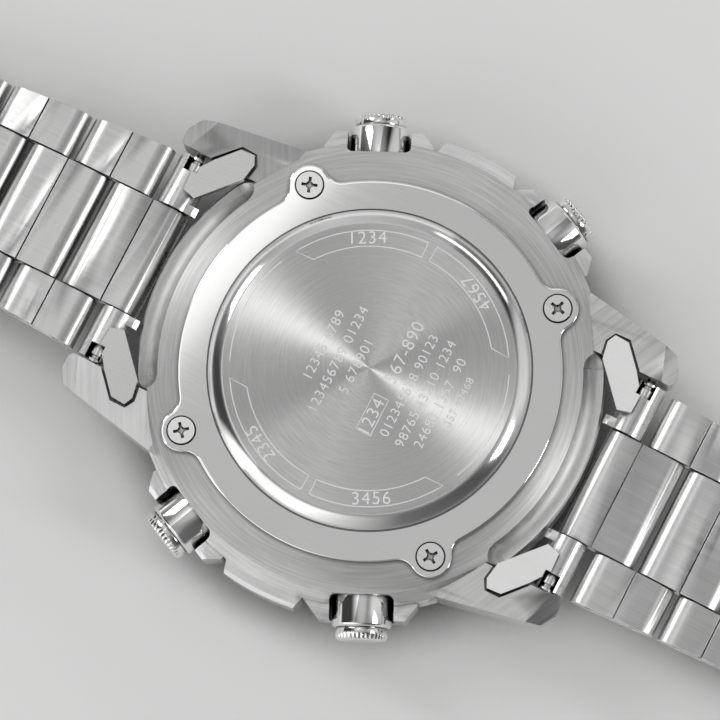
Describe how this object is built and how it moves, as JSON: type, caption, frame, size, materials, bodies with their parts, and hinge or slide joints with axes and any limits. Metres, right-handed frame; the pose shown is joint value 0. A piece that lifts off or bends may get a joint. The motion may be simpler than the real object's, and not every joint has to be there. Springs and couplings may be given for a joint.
{
  "type": "digital wristwatch",
  "caption": "Steel digital watch with corner pushers, a screwed round case back and a folded-link bracelet opened flat with a fold-over clasp.",
  "frame": {"origin": "under the centre of the case, on the surface that the bezel and the open bracelet lie on", "axes": "+Z out of the case back, +Y to the 12 o'clock end, +X to the 9 o'clock side; the watch lies on its face"},
  "size_m": [0.0468, 0.164, 0.012],
  "materials": {
    "case_steel": "circular-brushed back, brushed lugs",
    "bezel_steel": "polished",
    "cover_steel": "polished rim, spin-brushed disc",
    "screw_steel": "polished heads",
    "pusher_steel": "polished",
    "end_piece_steel": "satin",
    "centre_link_steel": "brushed lengthwise",
    "outer_link_steel": "brushed lengthwise",
    "clasp_steel": "brushed lengthwise",
    "bar_steel": "drawn",
    "spring_steel": "drawn wire",
    "mineral_glass": "clear",
    "seal_rubber": "matt",
    "dial_plastic": "matt",
    "face_plastic": "printed, glossy",
    "display_glass": "glossy grey-green",
    "light_plastic": "matt",
    "zebra_rubber": "matt",
    "frame_plastic": "moulded",
    "board_laminate": "lacquered",
    "cell_steel": "plated",
    "contact_brass": "plated"
  },
  "bodies": {
    "case": {"case_middle": "case_steel", "bezel": "bezel_steel", "crystal": "mineral_glass", "crystal_gasket": "seal_rubber", "dial_ring": "dial_plastic", "face_plate": "face_plastic", "lcd_panel": "display_glass", "light_panel": "light_plastic", "zebra_strips": "zebra_rubber", "module_frame": "frame_plastic", "circuit_board": "board_laminate", "quartz_crystal": "cell_steel", "coin_cell": "cell_steel", "battery_clip": "spring_steel", "pusher_contacts": "contact_brass", "buzzer_disc": "contact_brass", "buzzer_spring": "spring_steel", "back_gasket": "seal_rubber", "case_back": "cover_steel", "back_screws": "screw_steel", "pusher_seals": "seal_rubber", "end_piece_12": "end_piece_steel", "end_piece_6": "end_piece_steel", "lug_spring_bars": "bar_steel"},
    "pusher_10": {"pusher_10": "pusher_steel", "clip_10": "spring_steel", "spring_10": "spring_steel"},
    "pusher_8": {"pusher_8": "pusher_steel", "clip_8": "spring_steel", "spring_8": "spring_steel"},
    "pusher_4": {"pusher_4": "pusher_steel", "clip_4": "spring_steel", "spring_4": "spring_steel"},
    "pusher_2": {"pusher_2": "pusher_steel", "clip_2": "spring_steel", "spring_2": "spring_steel"},
    "centre_12_1": {"centre_12_1": "centre_link_steel"},
    "outer_12_1": {"outer_12_1": "outer_link_steel"},
    "centre_12_2": {"centre_12_2": "centre_link_steel"},
    "outer_12_2": {"outer_12_2": "outer_link_steel"},
    "centre_12_3": {"centre_12_3": "centre_link_steel"},
    "outer_12_3": {"outer_12_3": "outer_link_steel"},
    "centre_12_4": {"centre_12_4": "centre_link_steel"},
    "outer_12_4": {"outer_12_4": "outer_link_steel"},
    "centre_6_1": {"centre_6_1": "centre_link_steel"},
    "outer_6_1": {"outer_6_1": "outer_link_steel"},
    "centre_6_2": {"centre_6_2": "centre_link_steel"},
    "outer_6_2": {"outer_6_2": "outer_link_steel"},
    "centre_6_3": {"centre_6_3": "centre_link_steel"},
    "outer_6_3": {"outer_6_3": "outer_link_steel"},
    "centre_6_4": {"centre_6_4": "centre_link_steel"},
    "outer_6_4": {"outer_6_4": "outer_link_steel"},
    "centre_6_5": {"centre_6_5": "centre_link_steel"},
    "outer_6_5": {"outer_6_5": "outer_link_steel"},
    "clasp_cover": {"clasp_cover": "clasp_steel", "clasp_bar_12": "bar_steel"},
    "clasp_middle_leaf": {"clasp_middle_leaf": "clasp_steel"},
    "clasp_inner_leaf": {"clasp_inner_leaf": "clasp_steel", "clasp_bar_6": "bar_steel"}
  },
  "joints": [
    {"name": "press_10", "type": "slide", "parent": "case", "child": "pusher_10", "axis": [-0.9063, -0.4226, 0], "range_m": [0, 0.0009], "stiffness_N_per_m": 400, "springref_m": -0.001, "deforming": ["spring_10"]},
    {"name": "press_8", "type": "slide", "parent": "case", "child": "pusher_8", "axis": [-0.9063, 0.4226, 0], "range_m": [0, 0.0009], "stiffness_N_per_m": 400, "springref_m": -0.001, "deforming": ["spring_8"]},
    {"name": "press_4", "type": "slide", "parent": "case", "child": "pusher_4", "axis": [0.9063, 0.4226, 0], "range_m": [0, 0.0009], "stiffness_N_per_m": 400, "springref_m": -0.001, "deforming": ["spring_4"]},
    {"name": "press_2", "type": "slide", "parent": "case", "child": "pusher_2", "axis": [0.9063, -0.4226, 0], "range_m": [0, 0.0009], "stiffness_N_per_m": 400, "springref_m": -0.001, "deforming": ["spring_2"]},
    {"name": "bend_12_1", "type": "hinge", "parent": "case", "child": "centre_12_1", "pos_m": [0, 0.0237, 0.0086], "axis": [1, 0, 0], "range_deg": [-16, 31]},
    {"name": "bend_12_2", "type": "hinge", "parent": "centre_12_1", "child": "outer_12_1", "pos_m": [0, 0.02808, 0.00814], "axis": [1, 0, 0], "range_deg": [-8, 16]},
    {"name": "bend_12_3", "type": "hinge", "parent": "outer_12_1", "child": "centre_12_2", "pos_m": [0, 0.03245, 0.00768], "axis": [1, 0, 0], "range_deg": [-8, 16]},
    {"name": "bend_12_4", "type": "hinge", "parent": "centre_12_2", "child": "outer_12_2", "pos_m": [0, 0.03683, 0.00722], "axis": [1, 0, 0], "range_deg": [-3.52, 20.48]},
    {"name": "bend_12_5", "type": "hinge", "parent": "outer_12_2", "child": "centre_12_3", "pos_m": [0, 0.04115, 0.00642], "axis": [1, 0, 0], "range_deg": [-8, 16]},
    {"name": "bend_12_6", "type": "hinge", "parent": "centre_12_3", "child": "outer_12_3", "pos_m": [0, 0.04548, 0.00562], "axis": [1, 0, 0], "range_deg": [-8, 16]},
    {"name": "bend_12_7", "type": "hinge", "parent": "outer_12_3", "child": "centre_12_4", "pos_m": [0, 0.04981, 0.00482], "axis": [1, 0, 0], "range_deg": [-8, 16]},
    {"name": "bend_12_8", "type": "hinge", "parent": "centre_12_4", "child": "outer_12_4", "pos_m": [0, 0.05413, 0.00402], "axis": [1, 0, 0], "range_deg": [-8, 16]},
    {"name": "bend_6_1", "type": "hinge", "parent": "case", "child": "centre_6_1", "pos_m": [0, -0.0237, 0.0086], "axis": [-1, 0, 0], "range_deg": [-16, 31]},
    {"name": "bend_6_2", "type": "hinge", "parent": "centre_6_1", "child": "outer_6_1", "pos_m": [0, -0.02808, 0.00814], "axis": [-1, 0, 0], "range_deg": [-8, 16]},
    {"name": "bend_6_3", "type": "hinge", "parent": "outer_6_1", "child": "centre_6_2", "pos_m": [0, -0.03245, 0.00768], "axis": [-1, 0, 0], "range_deg": [-8, 16]},
    {"name": "bend_6_4", "type": "hinge", "parent": "centre_6_2", "child": "outer_6_2", "pos_m": [0, -0.03683, 0.00722], "axis": [-1, 0, 0], "range_deg": [-3.58, 20.42]},
    {"name": "bend_6_5", "type": "hinge", "parent": "outer_6_2", "child": "centre_6_3", "pos_m": [0, -0.04115, 0.00642], "axis": [-1, 0, 0], "range_deg": [-8, 16]},
    {"name": "bend_6_6", "type": "hinge", "parent": "centre_6_3", "child": "outer_6_3", "pos_m": [0, -0.04548, 0.00563], "axis": [-1, 0, 0], "range_deg": [-8, 16]},
    {"name": "bend_6_7", "type": "hinge", "parent": "outer_6_3", "child": "centre_6_4", "pos_m": [0, -0.04981, 0.00483], "axis": [-1, 0, 0], "range_deg": [-8, 16]},
    {"name": "bend_6_8", "type": "hinge", "parent": "centre_6_4", "child": "outer_6_4", "pos_m": [0, -0.05414, 0.00404], "axis": [-1, 0, 0], "range_deg": [-8, 16]},
    {"name": "bend_6_9", "type": "hinge", "parent": "outer_6_4", "child": "centre_6_5", "pos_m": [0, -0.05847, 0.00324], "axis": [-1, 0, 0], "range_deg": [-8, 16]},
    {"name": "bend_6_10", "type": "hinge", "parent": "centre_6_5", "child": "outer_6_5", "pos_m": [0, -0.06279, 0.00245], "axis": [-1, 0, 0], "range_deg": [-8, 16]},
    {"name": "clasp_cover_hinge", "type": "hinge", "parent": "outer_12_4", "child": "clasp_cover", "pos_m": [0, 0.05846, 0.00322], "axis": [1, 0, 0], "range_deg": [-43.31, 26.69]},
    {"name": "clasp_main_hinge", "type": "hinge", "parent": "clasp_cover", "child": "clasp_middle_leaf", "pos_m": [0, 0.09013, 0.00302], "axis": [1, 0, 0], "range_deg": [-115, 0]},
    {"name": "clasp_fold_hinge", "type": "hinge", "parent": "clasp_middle_leaf", "child": "clasp_inner_leaf", "pos_m": [0, 0.06343, 0.00327], "axis": [-1, 0, 0], "range_deg": [-138, 0]}
  ]
}
